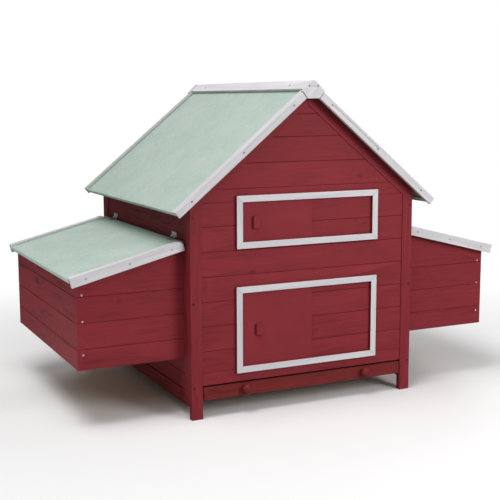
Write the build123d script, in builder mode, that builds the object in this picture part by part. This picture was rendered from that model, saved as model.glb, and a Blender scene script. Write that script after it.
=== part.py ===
from build123d import *
import os
from math import cos, radians, sin, tan

os.makedirs("parts", exist_ok=True)

# Driving dimensions in millimetres. +X is right as seen from the front, the front faces -Y,
# +Z is up, and the origin is on the ground in the middle of the house.

# House shell
house_width = 822.0
house_depth = 872.0
frame_width = 38.0
frame_thick = 19.0
rafter_width = 36.0
stile_bottom = 40.0
stile_top = 700.0
front_rail_span = (108.0, 148.0)
back_rail_span = (60.0, 100.0)
tie_rail_span = (690.0, 729.5)
side_bottom_rail_span = (stile_bottom, 85.0)
side_top_rail_span = (660.0, stile_top)
nest_sill_span = (190.0, 228.0)
nest_header_span = (560.0, 659.8)

# Tongue-and-groove planks
plank_thick = 12.0
plank_recess = 3.0
plank_pitch = 79.4
first_plank_joint = 217.4
plank_joint_count = 6
gable_joints = (809.5, 889.5, 961.0)
plank_gap = 0.4
v_joint = 1.6
tongue_start = 4.0
tongue_thick = 4.0
tongue_height = 5.0
tongue_play = 0.2
frame_groove = 8.0
groove_play = 0.3
fit_gap = 0.1

# Roof
roof_angle = radians(39.44)
ridge_height = 1038.8
roof_length = 598.0
roof_overhang = 39.0
roof_board_thick = 9.0
felt_thick = 2.0
eave_fold = 22.0
cap_thick = 10.0
cap_width = 24.0
barge_start = 36.5
barge_strip_start = 25.0
barge_drop = 7.5
trim_leg_thick = 12.0
trim_strip_thick = 6.0
trim_strip_width = 28.0
apex_thick = 14.0
apex_half_crown = 6.0
apex_lap = 2.0
ridge_beam_height = 45.0

# Sliding doors: outer edges of each white frame, as x and z spans
upper_frame_x = (-254.2, 268.0)
upper_frame_z = (540.0, 708.8)
lower_frame_x = (-256.2, 267.0)
lower_frame_z = (137.0, 418.3)
frame_strip_width = 21.0
frame_strip_thick = 10.5
track_width = 9.0
track_depth = 4.8
door_play = 1.0
door_thick = 4.0
door_side_play = 0.4
upper_door_edge = 18.5
lower_door_edge = 21.0
opening_x = (-222.0, -6.0)
opening_inset = 25.0
mitre_gap = 0.3
handle_size = (24.0, 10.0, 38.0)
handle_corner = 2.0
handle_round = 1.5
upper_handle_at = (-185.5, 622.5)
lower_handle_at = (-175.0, 274.5)

# Tray
tray_half_width = 369.5
tray_z = (60.4, 102.4)
tray_side_thick = 14.0
tray_end_thick = 12.0
tray_back = 400.0
tray_recess = 1.6
tray_sheet_z = (66.0, 69.0)
tray_sheet_groove = 4.0
runner_top = 60.0
runner_size = (40.0, 12.0)
runner_front = -380.0
knob_x = 224.0
knob_z = 84.0
knob_radius = 15.0
knob_length = 25.0
knob_neck_radius = 8.0
knob_neck_length = 4.0
knob_widest = 0.6 * knob_length
knob_flare = (0.3, -1)
knob_tenon = (5.0, 10.0)

# Perches
perch_radius = 14.0
perch_x = (90.0, 270.0)
perch_z = 330.0
cleat_size = (50.0, 16.0, 38.0)
cleat_rise = 8.0

# Nest boxes and their lids
nest_bottom = 190.0
nest_reach = 349.5
nest_half_length = 378.5
nest_inner_end = 396.0
nest_top_limit = 559.5
nest_joints = (255.5, 336.7, 418.0)
nest_floor_z = (196.0, 205.0)
nest_post = 20.0
nest_post_top = 460.0
divider_thick = 9.0
divider_top = 405.0
divider_y = 122.0
lid_angle = radians(14.07)
lid_height = 558.2
lid_board_span = (3.0, 381.0)
lid_half_length = 406.0
lid_trim_span = (9.0, 381.3)
lid_trim_drop = 13.6
lid_trim_corner = 15.0
lid_fold = 14.0
lid_rest_gap = 0.8

# Hinges
hinge_y = 297.0
hinge_length = 40.0
hinge_leaf_thick = 1.2
hinge_wall_leaf = 16.0
hinge_lid_leaf = 19.0
knuckle_radius = 3.0
knuckle_length = 13.0
pin_radius = 1.5
pin_clearance = 0.05
pin_head_radius = 2.4
pin_head_thick = 1.0
leaf_relief = 3.8

# Screws as (shank radius, head radius, head height). The top of a head, and the length, width
# and depth of its cross recess, are shares of the head's radius and height.
frame_screw = (2.0, 4.0, 1.6)
trim_screw = (1.5, 3.2, 1.4)
hinge_screw = (1.3, 2.6, 0.9)
screw_play = 0.1
head_top_share = 0.65
recess_share = (1.15, 0.26, 0.7)
post_screw_x = 402.0
post_screw_sink = 3.0
post_screw_z = (102.5, 375.0, 648.4)
nest_screw_x = 742.0
nest_screw_z = (238.0, 342.0, 424.0)
barge_screw_down = (85.5, 312.0, 538.0)
barge_screw_above = 5.0
apex_screw_at = (16.0, 1049.0)
lid_screw_down = (49.0, 191.5, 334.0)
lid_screw_above = 2.0
cap_screw_y = 347.0
cap_screw_down = 6.0
hinge_screw_y = 12.0
wall_leaf_screw_rise = 11.0
lid_leaf_screw_down = 12.5
post_screw_length = 32.0
trim_screw_length = 28.0
cap_screw_length = 20.0
wall_leaf_screw_length = 15.0
lid_leaf_screw_length = 9.0

# Worked out from the dimensions above
half_width = house_width / 2
half_depth = house_depth / 2
inner_x = half_width - frame_width
inner_y = half_depth - frame_thick
stile_inner_y = inner_y - frame_width
wall_y = half_depth - plank_recess
wall_x = half_width - plank_recess
plank_end_x = inner_x + frame_groove
plank_end_y = stile_inner_y + frame_groove
nest_inner_y = nest_half_length - plank_thick
roof_end_y = half_depth + roof_overhang
board_end_y = roof_end_y - trim_leg_thick
felt_top = roof_board_thick + felt_thick
strip_top = felt_top + trim_strip_thick
wall_joints = [first_plank_joint + plank_pitch * row for row in range(plank_joint_count)]
sides = ((-1, "left"), (1, "right"))


class Slope:
    """A sloping board: down is the distance along it, above is the height over its underside."""

    def __init__(self, start_x, start_z, angle):
        self.start_x = start_x
        self.start_z = start_z
        self.angle = angle

    def point(self, side, down, above):
        x = self.start_x + down * cos(self.angle) + above * sin(self.angle)
        return (side * x, self.start_z - down * sin(self.angle) + above * cos(self.angle))

    def height_at(self, x, above):
        return self.start_z - (x - self.start_x) * tan(self.angle) + above / cos(self.angle)

    def down_at(self, x, above):
        return (x - self.start_x - above * sin(self.angle)) / cos(self.angle)

    def inward(self, side):
        return (-side * sin(self.angle), 0, -cos(self.angle))


roof = Slope(0, ridge_height, roof_angle)
lid = Slope(half_width, lid_height, lid_angle)
hinge_axis_x = wall_x + fit_gap + knuckle_radius
hinge_axis_above = felt_top + fit_gap / 2 + knuckle_radius
hinge_axis_z = lid.height_at(hinge_axis_x, hinge_axis_above)
hinge_axis_down = lid.down_at(hinge_axis_x, hinge_axis_above)


def save(piece, label):
    """Label a finished piece and write it as its own STEP file."""
    piece.part.label = label
    export_step(piece.part, f"parts/{label}.step")


def board(x_span, y_span, z_span, mode=Mode.ADD):
    """Square-edged board that fills three spans."""
    spans = (x_span, y_span, z_span)
    centre = tuple((span[0] + span[1]) / 2 for span in spans)
    size = tuple(abs(span[1] - span[0]) for span in spans)
    with Locations(centre):
        Box(*size, mode=mode)


def prism_y(points, y_span, mode=Mode.ADD):
    """Prism along Y whose outline is a list of (x, z) points."""
    with BuildSketch(Plane.XZ.offset(-max(y_span))) as outline:
        with BuildLine():
            Polyline(*points, close=True)
        make_face()
    extrude(outline.sketch, amount=abs(y_span[1] - y_span[0]), mode=mode)


def prism_x(points, x_span, mode=Mode.ADD):
    """Prism along X whose outline is a list of (y, z) points."""
    with BuildSketch(Plane.YZ.offset(min(x_span))) as outline:
        with BuildLine():
            Polyline(*points, close=True)
        make_face()
    extrude(outline.sketch, amount=abs(x_span[1] - x_span[0]), mode=mode)


def sloped(slope, side, down_span, above_span, y_span, mode=Mode.ADD):
    """Board that lies on a slope, between two distances down it and two heights above it."""
    (top, low), (under, over) = down_span, above_span
    corners = [(top, under), (low, under), (low, over), (top, over)]
    prism_y([slope.point(side, down, above) for down, above in corners], y_span, mode)


def rod_y(x, z, radius, y_span, mode=Mode.ADD):
    """Round rod along Y."""
    with Locations(Plane(origin=(x, min(y_span), z), z_dir=(0, 1, 0))):
        ends = (Align.CENTER, Align.CENTER, Align.MIN)
        Cylinder(radius, abs(y_span[1] - y_span[0]), align=ends, mode=mode)


def drive_screws(places, inward, kind, length):
    """Cross-recessed pan-head screws whose heads sit on the surface at the given places."""
    shank_radius, head_radius, head_height = kind
    length_share, width_share, depth_share = recess_share
    slot_size = (length_share * head_radius, width_share * head_radius, depth_share * head_height)
    for place in places:
        with Locations(Plane(origin=place, z_dir=inward)):
            Cylinder(shank_radius, length, align=(Align.CENTER, Align.CENTER, Align.MIN))
            Cone(head_radius * head_top_share, head_radius, head_height,
                 align=(Align.CENTER, Align.CENTER, Align.MAX))
            with Locations((0, 0, -head_height)):
                for turn in (0, 90):
                    Box(*slot_size, rotation=(0, 0, turn),
                        align=(Align.CENTER, Align.CENTER, Align.MIN), mode=Mode.SUBTRACT)


def drill(places, inward, kind, length, sink=0.0):
    """Holes for screws at the given places, and a counterbore over each head if it is sunk."""
    shank_radius, head_radius, _ = kind
    for place in places:
        with Locations(Plane(origin=place, z_dir=inward)):
            Cylinder(shank_radius + screw_play, length + screw_play,
                     align=(Align.CENTER, Align.CENTER, Align.MIN), mode=Mode.SUBTRACT)
            if sink > 0:
                Cylinder(head_radius + screw_play, sink,
                         align=(Align.CENTER, Align.CENTER, Align.MAX), mode=Mode.SUBTRACT)


def plank_section(outer, inward, low, high, grooved, tongued):
    """End outline of one plank as (depth, z) points, V-jointed on its outer face."""
    def depth(distance):
        return outer + inward * distance

    bottom = low + plank_gap / 2
    top = high - plank_gap / 2
    groove_start = tongue_start - tongue_play
    groove_end = tongue_start + tongue_thick + tongue_play
    groove_top = bottom + tongue_height + 2 * tongue_play
    points = [(depth(0), bottom + v_joint), (depth(v_joint), bottom)]
    if grooved:
        points += [(depth(groove_start), bottom), (depth(groove_start), groove_top)]
        points += [(depth(groove_end), groove_top), (depth(groove_end), bottom)]
    points += [(depth(plank_thick), bottom), (depth(plank_thick), top)]
    if tongued:
        points += [(depth(tongue_start + tongue_thick), top)]
        points += [(depth(tongue_start + tongue_thick), top + tongue_height)]
        points += [(depth(tongue_start), top + tongue_height), (depth(tongue_start), top)]
    points += [(depth(v_joint), top), (depth(0), top - v_joint)]
    return points


def plank_sections(outer, inward, heights):
    """End outlines of a stack of planks between the given heights."""
    last = len(heights) - 2
    for row, (low, high) in enumerate(zip(heights, heights[1:])):
        yield plank_section(outer, inward, low, high, row > 0, row < last)


def gable_outline(bottom, edge_x, depth_below_roof):
    """Wall outline that follows the roof, as (x, z) points."""
    shoulder = roof.height_at(edge_x, -depth_below_roof)
    peak = roof.height_at(0, -depth_below_roof)
    return [(-edge_x, bottom), (edge_x, bottom), (edge_x, shoulder), (0, peak), (-edge_x, shoulder)]


def wall_outline(bottom, play=0.0):
    """Outline of the planks of an end wall, with their ends housed in the frame's grooves."""
    return gable_outline(bottom, plank_end_x + play, rafter_width - frame_groove - play)


# Where the screws sit
def post_screws(face):
    head_y = face * (half_depth - post_screw_sink)
    return [(side * post_screw_x, head_y, z) for side, _ in sides for z in post_screw_z]


def barge_screws(face):
    places = [roof.point(side, down, barge_screw_above) for side, _ in sides for down in barge_screw_down]
    return [(x, face * roof_end_y, z) for x, z in places]


def apex_screws(face):
    x, z = apex_screw_at
    return [(side * x, face * (board_end_y + apex_thick), z) for side, _ in sides]


def cap_screws(side):
    x, z = roof.point(side, cap_screw_down, felt_top + cap_thick)
    return [(x, y, z) for y in (-cap_screw_y, cap_screw_y)]


def nest_screws(face):
    return [(side * nest_screw_x, face * nest_half_length, z)
            for side, _ in sides for z in nest_screw_z]


def lid_trim_screws(side, face):
    places = [lid.point(side, down, lid_screw_above) for down in lid_screw_down]
    return [(x, face * lid_half_length, z) for x, z in places]


def wall_leaf_screws(side):
    x = side * (wall_x + fit_gap + hinge_leaf_thick)
    return [(x, centre + offset, hinge_axis_z + wall_leaf_screw_rise)
            for centre in (-hinge_y, hinge_y) for offset in (-hinge_screw_y, hinge_screw_y)]


def lid_leaf_screws(side):
    surface = felt_top + fit_gap / 2 + hinge_leaf_thick
    x, z = lid.point(side, hinge_axis_down + lid_leaf_screw_down, surface)
    return [(x, centre + offset, z)
            for centre in (-hinge_y, hinge_y) for offset in (-hinge_screw_y, hinge_screw_y)]


# ---------------------------------------------------------------- end walls

for face, wall in ((-1, "front"), (1, "back")):
    into = (0, -face, 0)
    frame_span = (face * half_depth, face * inner_y)
    plank_span = (face * (wall_y + fit_gap), face * (wall_y - plank_thick - fit_gap))
    rail_span = front_rail_span if face < 0 else back_rail_span
    groove = wall_outline(rail_span[1], groove_play)

    for side, hand in sides:
        with BuildPart() as post:
            top_outer = roof.height_at(half_width, -rafter_width - 2 * fit_gap)
            top_inner = roof.height_at(inner_x, -rafter_width - 2 * fit_gap)
            corners = [(inner_x, 0), (half_width, 0), (half_width, top_outer), (inner_x, top_inner)]
            prism_y([(side * x, z) for x, z in corners], frame_span)
            prism_y(groove, plank_span, Mode.SUBTRACT)
            drill(post_screws(face), into, frame_screw, post_screw_length, post_screw_sink)
        save(post, f"{wall}_{hand}_post")

        with BuildPart() as rafter:
            corners = [(fit_gap, -rafter_width), (half_width, -rafter_width),
                       (half_width, -fit_gap), (fit_gap, -fit_gap)]
            prism_y([(side * x, roof.height_at(x, above)) for x, above in corners], frame_span)
            prism_y(groove, plank_span, Mode.SUBTRACT)
        save(rafter, f"{wall}_{hand}_rafter")

    with BuildPart() as rails:
        board((-inner_x + fit_gap, inner_x - fit_gap), (face * wall_y, face * inner_y), rail_span)
        board((-plank_end_x, plank_end_x), (face * wall_y, face * (wall_y - plank_thick)), tie_rail_span)
        prism_y(wall_outline(0.0), (face * half_depth, 0), Mode.INTERSECT)
    save(rails, f"{wall}_rails")

with BuildPart() as front_planks:
    heights = [front_rail_span[1], *wall_joints, tie_rail_span[0]]
    for section in plank_sections(-wall_y, 1, heights):
        prism_x(section, (-plank_end_x, plank_end_x))
    for section in plank_sections(-wall_y, 1, [tie_rail_span[1], *gable_joints, ridge_height]):
        prism_x(section, (-plank_end_x, plank_end_x))
    prism_y(wall_outline(0.0), (-half_depth, 0), Mode.INTERSECT)
    for frame_z in (upper_frame_z, lower_frame_z):
        opening_z = (frame_z[0] + opening_inset, frame_z[1] - opening_inset)
        board(opening_x, (-half_depth, 0), opening_z, Mode.SUBTRACT)
save(front_planks, "front_wall_planks")

with BuildPart() as back_planks:
    heights = [back_rail_span[1], wall_joints[0] - plank_pitch, *wall_joints, tie_rail_span[0]]
    for section in plank_sections(wall_y, -1, heights):
        prism_x(section, (-plank_end_x, plank_end_x))
    for section in plank_sections(wall_y, -1, [tie_rail_span[1], *gable_joints, ridge_height]):
        prism_x(section, (-plank_end_x, plank_end_x))
    prism_y(wall_outline(0.0), (0, half_depth), Mode.INTERSECT)
save(back_planks, "back_wall_planks")

with BuildPart() as front_door_jambs:
    jamb_front = -wall_y + plank_thick + fit_gap
    for x in (opening_x[0] - frame_thick, opening_x[1]):
        board((x, x + frame_thick), (jamb_front, jamb_front + frame_thick),
              (front_rail_span[1], tie_rail_span[0]))
save(front_door_jambs, "front_door_jambs")

# ---------------------------------------------------------------- side walls

for side, hand in sides:
    frame_x = (side * half_width, side * (half_width - frame_thick))
    plank_x = (side * wall_x, side * (wall_x - plank_thick))
    groove_x = (side * (wall_x + fit_gap), side * (wall_x - plank_thick - fit_gap))
    rail_y = stile_inner_y - fit_gap
    sill_y = nest_inner_y - groove_play
    plank_heights = (side_bottom_rail_span[1], wall_joints[0] - plank_pitch, nest_sill_span[0])

    with BuildPart() as side_frame:
        for face in (-1, 1):
            board(frame_x, (face * (inner_y - fit_gap), face * stile_inner_y), (stile_bottom, stile_top))
        for rail_span in (side_bottom_rail_span, side_top_rail_span):
            board(frame_x, (-rail_y, rail_y), rail_span)
        board((side * wall_x, frame_x[1]), (-rail_y, rail_y), nest_header_span)
        board((side * wall_x, frame_x[1]), (-sill_y, sill_y), nest_sill_span)
        board(groove_x, (-plank_end_y - groove_play, plank_end_y + groove_play),
              (plank_heights[0], plank_heights[-1]), Mode.SUBTRACT)
        for face in (-1, 1):
            drill(post_screws(face), (0, -face, 0), frame_screw, post_screw_length)
        drill(wall_leaf_screws(side), (-side, 0, 0), hinge_screw, wall_leaf_screw_length)
    save(side_frame, f"{hand}_side_frame")

    with BuildPart() as side_planks:
        for section in plank_sections(side * wall_x, -side, plank_heights):
            prism_y(section, (-plank_end_y, plank_end_y))
    save(side_planks, f"{hand}_side_planks")

# ---------------------------------------------------------------- roof

for side, hand in sides:
    with BuildPart() as roof_board:
        ridge = [(side * fit_gap, roof.height_at(fit_gap, above)) for above in (0, roof_board_thick)]
        eave = [roof.point(side, roof_length - fit_gap, above) for above in (roof_board_thick, 0)]
        prism_y(ridge + eave, (fit_gap - board_end_y, board_end_y - fit_gap))
        for face in (-1, 1):
            drill(barge_screws(face), (0, -face, 0), trim_screw, trim_screw_length)
        drill(cap_screws(side), roof.inward(side), trim_screw, cap_screw_length)
    save(roof_board, f"{hand}_roof_board")

    with BuildPart() as roof_felt:
        under = roof_board_thick + fit_gap / 2
        wrap = roof_length + felt_thick
        outline = [(side * fit_gap, roof.height_at(fit_gap, above)) for above in (under, felt_top)]
        outline += [roof.point(side, wrap, felt_top), roof.point(side, wrap, -felt_thick)]
        fold = (roof_length - eave_fold, -felt_thick), (roof_length - eave_fold, -fit_gap / 2)
        outline += [roof.point(side, down, above) for down, above in fold]
        outline += [roof.point(side, roof_length, above) for above in (-fit_gap / 2, under)]
        prism_y(outline, (fit_gap - board_end_y, board_end_y - fit_gap))
        drill(cap_screws(side), roof.inward(side), trim_screw, cap_screw_length)
    save(roof_felt, f"{hand}_roof_felt")

    with BuildPart() as ridge_cap:
        under = felt_top + fit_gap / 2
        over = felt_top + cap_thick
        outline = [(side * fit_gap, roof.height_at(fit_gap, above)) for above in (under, over)]
        outline += [roof.point(side, cap_width, over), roof.point(side, cap_width, under)]
        prism_y(outline, (fit_gap - board_end_y, board_end_y - fit_gap))
        drill(cap_screws(side), roof.inward(side), trim_screw, cap_screw_length)
        for face in (-1, 1):
            drill(apex_screws(face), (0, -face, 0), trim_screw, trim_screw_length)
    save(ridge_cap, f"{hand}_ridge_cap")


def barge(side, face):
    """L-shaped trim: a leg in front of the board's edge and a strip on top of the felt."""
    end = roof_length + felt_thick
    leg_y = (face * board_end_y, face * roof_end_y)
    strip_y = (face * board_end_y, face * (roof_end_y - trim_strip_width))
    sloped(roof, side, (barge_start, end), (-barge_drop, strip_top), leg_y)
    sloped(roof, side, (barge_strip_start, end), (felt_top + fit_gap / 2, strip_top), strip_y)
    drill(barge_screws(face), (0, -face, 0), trim_screw, trim_screw_length)


for side, hand in sides:
    with BuildPart() as front_barge:
        barge(side, -1)
    save(front_barge, f"front_{hand}_barge")

with BuildPart() as back_barges:
    for side, _ in sides:
        barge(side, 1)
save(back_barges, "back_barges")

with BuildPart() as apex_plates:
    foot = roof.point(1, barge_start - apex_lap, -barge_drop - apex_lap)
    shoulder = roof.point(1, barge_start - apex_lap, felt_top + cap_thick)
    crown = (apex_half_crown, roof.height_at(0, felt_top + cap_thick))
    half_outline = [foot, shoulder, crown]
    outline = half_outline + [(-x, z) for x, z in reversed(half_outline)]
    for face in (-1, 1):
        prism_y(outline, (face * (board_end_y + 2 * fit_gap), face * (board_end_y + apex_thick)))
        drill(apex_screws(face), (0, -face, 0), trim_screw, trim_screw_length)
save(apex_plates, "apex_plates")

with BuildPart() as ridge_beam:
    beam_half = frame_thick / 2
    beam_top = roof.height_at(beam_half, -fit_gap)
    board((-beam_half, beam_half), (fit_gap - inner_y, inner_y - fit_gap),
          (beam_top - ridge_beam_height, beam_top))
save(ridge_beam, "ridge_beam")

# ---------------------------------------------------------------- sliding doors

door_back = -wall_y - door_side_play
door_front = door_back - door_thick


def door_frame(frame_x, frame_z):
    """Four mitred strips with a track behind them for the sliding panel."""
    width = frame_x[1] - frame_x[0]
    height = frame_z[1] - frame_z[0]
    centre = ((frame_x[0] + frame_x[1]) / 2, (frame_z[0] + frame_z[1]) / 2)
    corner_x = (width - frame_strip_width) / 2
    corner_z = (height - frame_strip_width) / 2
    with BuildSketch(Plane.XZ.offset(wall_y)) as ring:
        with Locations(centre):
            Rectangle(width, height)
            Rectangle(width - 2 * frame_strip_width, height - 2 * frame_strip_width,
                      mode=Mode.SUBTRACT)
        for mirror_x in (-1, 1):
            for mirror_z in (-1, 1):
                place = (centre[0] + mirror_x * corner_x, centre[1] + mirror_z * corner_z)
                with Locations(Location(place, 45 * mirror_x * mirror_z)):
                    Rectangle(2 * frame_strip_width, mitre_gap, mode=Mode.SUBTRACT)
    extrude(ring.sketch, amount=frame_strip_thick)
    track_x = (frame_x[0] + track_width, frame_x[1] - track_width)
    track_z = (frame_z[0] + track_width, frame_z[1] - track_width)
    board(track_x, (-wall_y, -wall_y - track_depth), track_z, Mode.SUBTRACT)


for height_name, frame_x, frame_z, door_edge, handle_at in (
    ("upper", upper_frame_x, upper_frame_z, upper_door_edge, upper_handle_at),
    ("lower", lower_frame_x, lower_frame_z, lower_door_edge, lower_handle_at),
):
    with BuildPart() as door_frame_strips:
        door_frame(frame_x, frame_z)
    save(door_frame_strips, f"{height_name}_door_frame")

    with BuildPart() as door_panel:
        inset = track_width + door_play
        board((frame_x[0] + inset, door_edge), (door_front, door_back),
              (frame_z[0] + inset, frame_z[1] - inset))
    save(door_panel, f"{height_name}_door_panel")

    with BuildPart() as door_handle:
        with Locations((handle_at[0], door_front - handle_size[1] / 2, handle_at[1])):
            Box(*handle_size)
        fillet(door_handle.edges().filter_by(Axis.Y), radius=handle_corner)
        fillet(door_handle.faces().sort_by(Axis.Y)[0].edges(), radius=handle_round)
    save(door_handle, f"{height_name}_door_handle")

# ---------------------------------------------------------------- tray

tray_front = -half_depth + tray_recess
tray_inner_x = tray_half_width - tray_side_thick

with BuildPart() as tray_boards:
    for side, _ in sides:
        board((side * tray_inner_x, side * tray_half_width), (tray_front, tray_back), tray_z)
    for start in (tray_front, tray_back - tray_end_thick):
        board((fit_gap - tray_inner_x, tray_inner_x - fit_gap), (start, start + tray_end_thick), tray_z)
    slot_x = tray_inner_x + tray_sheet_groove
    board((-slot_x, slot_x), (tray_front + tray_end_thick - tray_sheet_groove,
                                  tray_back - tray_end_thick + tray_sheet_groove),
          (tray_sheet_z[0] - fit_gap, tray_sheet_z[1] + fit_gap), Mode.SUBTRACT)
    for side, _ in sides:
        rod_y(side * knob_x, knob_z, knob_tenon[0] + screw_play,
              (tray_front, tray_front + knob_tenon[1] + screw_play), Mode.SUBTRACT)
save(tray_boards, "tray_boards")

with BuildPart() as tray_bottom:
    sheet_x = slot_x - groove_play
    board((-sheet_x, sheet_x), (tray_front + tray_end_thick - tray_sheet_groove + groove_play,
                                tray_back - tray_end_thick + tray_sheet_groove - groove_play),
          tray_sheet_z)
save(tray_bottom, "tray_bottom")

with BuildPart() as tray_knobs:
    for side, _ in sides:
        axis_plane = Plane(origin=(side * knob_x, tray_front, knob_z), x_dir=(1, 0, 0), z_dir=(0, 0, 1))
        with BuildSketch(axis_plane) as knob_profile:
            with BuildLine():
                Polyline((0, knob_tenon[1]), (knob_tenon[0], knob_tenon[1]), (knob_tenon[0], 0),
                         (knob_neck_radius, 0), (knob_neck_radius, -knob_neck_length))
                Spline((knob_neck_radius, -knob_neck_length), (knob_radius, -knob_widest), (0, -knob_length),
                       tangents=(knob_flare, (-1, 0)))
                Line((0, -knob_length), (0, knob_tenon[1]))
            make_face()
        revolve(knob_profile.sketch, Axis((side * knob_x, tray_front, knob_z), (0, 1, 0)))
save(tray_knobs, "tray_knobs")

with BuildPart() as tray_runners:
    for side, _ in sides:
        outer_x = half_width - frame_thick - fit_gap
        board((side * outer_x, side * (outer_x - runner_size[0])), (runner_front, inner_y - fit_gap),
              (runner_top - runner_size[1], runner_top))
save(tray_runners, "tray_runners")

# ---------------------------------------------------------------- perches

perch_end = wall_y - plank_thick - 2 * fit_gap

with BuildPart() as perches:
    for x in perch_x:
        rod_y(x, perch_z, perch_radius, (-perch_end + fit_gap, perch_end - fit_gap))
save(perches, "perches")

with BuildPart() as perch_cleats:
    for x in perch_x:
        for face in (-1, 1):
            cleat_z = (perch_z + cleat_rise - cleat_size[2], perch_z + cleat_rise)
            cleat_y = (face * perch_end, face * (perch_end - cleat_size[1]))
            board((x - cleat_size[0] / 2, x + cleat_size[0] / 2), cleat_y, cleat_z)
            rod_y(x, perch_z, perch_radius + 2 * fit_gap, cleat_y, Mode.SUBTRACT)
            notch = perch_radius + 2 * fit_gap
            board((x - notch, x + notch), cleat_y, (perch_z, cleat_z[1]), Mode.SUBTRACT)
save(perch_cleats, "perch_cleats")

# ---------------------------------------------------------------- nest boxes

nest_end_x = half_width + nest_reach
nest_inner_x = nest_end_x - plank_thick

for side, hand in sides:
    with BuildPart() as nest_planks:
        heights = [nest_bottom, *nest_joints, nest_top_limit + plank_pitch]
        for face in (-1, 1):
            for section in plank_sections(face * nest_half_length, -face, heights):
                prism_x(section, (side * nest_inner_end, side * nest_end_x))
        for section in plank_sections(side * nest_end_x, -side, heights):
            prism_y(section, (groove_play - nest_inner_y, nest_inner_y - groove_play))
        level_x = half_width + (lid.height_at(half_width, -lid_rest_gap) - nest_top_limit) / tan(lid_angle)
        corners = [(nest_inner_end, nest_bottom), (nest_end_x, nest_bottom),
                   (nest_end_x, lid.height_at(nest_end_x, -lid_rest_gap)),
                   (level_x, nest_top_limit), (nest_inner_end, nest_top_limit)]
        prism_y([(side * x, z) for x, z in corners], (-half_depth, half_depth), Mode.INTERSECT)
        for face in (-1, 1):
            drill(nest_screws(face), (0, -face, 0), trim_screw, trim_screw_length)
    save(nest_planks, f"{hand}_nest_planks")

with BuildPart() as nest_floors:
    for side, _ in sides:
        board((side * (wall_x + 2 * fit_gap), side * (nest_inner_x - fit_gap)),
              (groove_play - nest_inner_y, nest_inner_y - groove_play), nest_floor_z)
save(nest_floors, "nest_floors")

with BuildPart() as nest_corner_posts:
    for side, _ in sides:
        for face in (-1, 1):
            board((side * (nest_inner_x - fit_gap), side * (nest_inner_x - fit_gap - nest_post)),
                  (face * (nest_inner_y - groove_play), face * (nest_inner_y - groove_play - nest_post)),
                  (nest_floor_z[1] + fit_gap, nest_post_top))
    for face in (-1, 1):
        drill(nest_screws(face), (0, -face, 0), trim_screw, trim_screw_length)
save(nest_corner_posts, "nest_corner_posts")

with BuildPart() as nest_dividers:
    for side, _ in sides:
        for centre in (-divider_y, divider_y):
            board((side * (wall_x + 2 * fit_gap), side * (nest_inner_x - fit_gap)),
                  (centre - divider_thick / 2, centre + divider_thick / 2),
                  (nest_floor_z[1] + fit_gap, divider_top))
save(nest_dividers, "nest_dividers")

# ---------------------------------------------------------------- nest box lids

lid_board_y = lid_half_length - trim_leg_thick - fit_gap


def round_wall_end(side):
    """Round the top corner of the lid trims where they meet the wall."""
    start, end = lid_trim_span
    low_end = [(start, -lid_trim_drop), (end, -lid_trim_drop), (end, strip_top)]
    crown = lid.point(side, start + lid_trim_corner, strip_top)
    brow = lid.point(side, start, strip_top - lid_trim_corner)
    slant = lid_trim_corner * (1 - cos(radians(45)))
    middle = lid.point(side, start + slant, strip_top - slant)
    with BuildSketch(Plane.XZ.offset(-lid_half_length)) as outline:
        with BuildLine():
            Polyline(brow, *[lid.point(side, down, above) for down, above in low_end], crown)
            ThreePointArc(crown, middle, brow)
        make_face()
    extrude(outline.sketch, amount=2 * lid_half_length, mode=Mode.INTERSECT)


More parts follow.
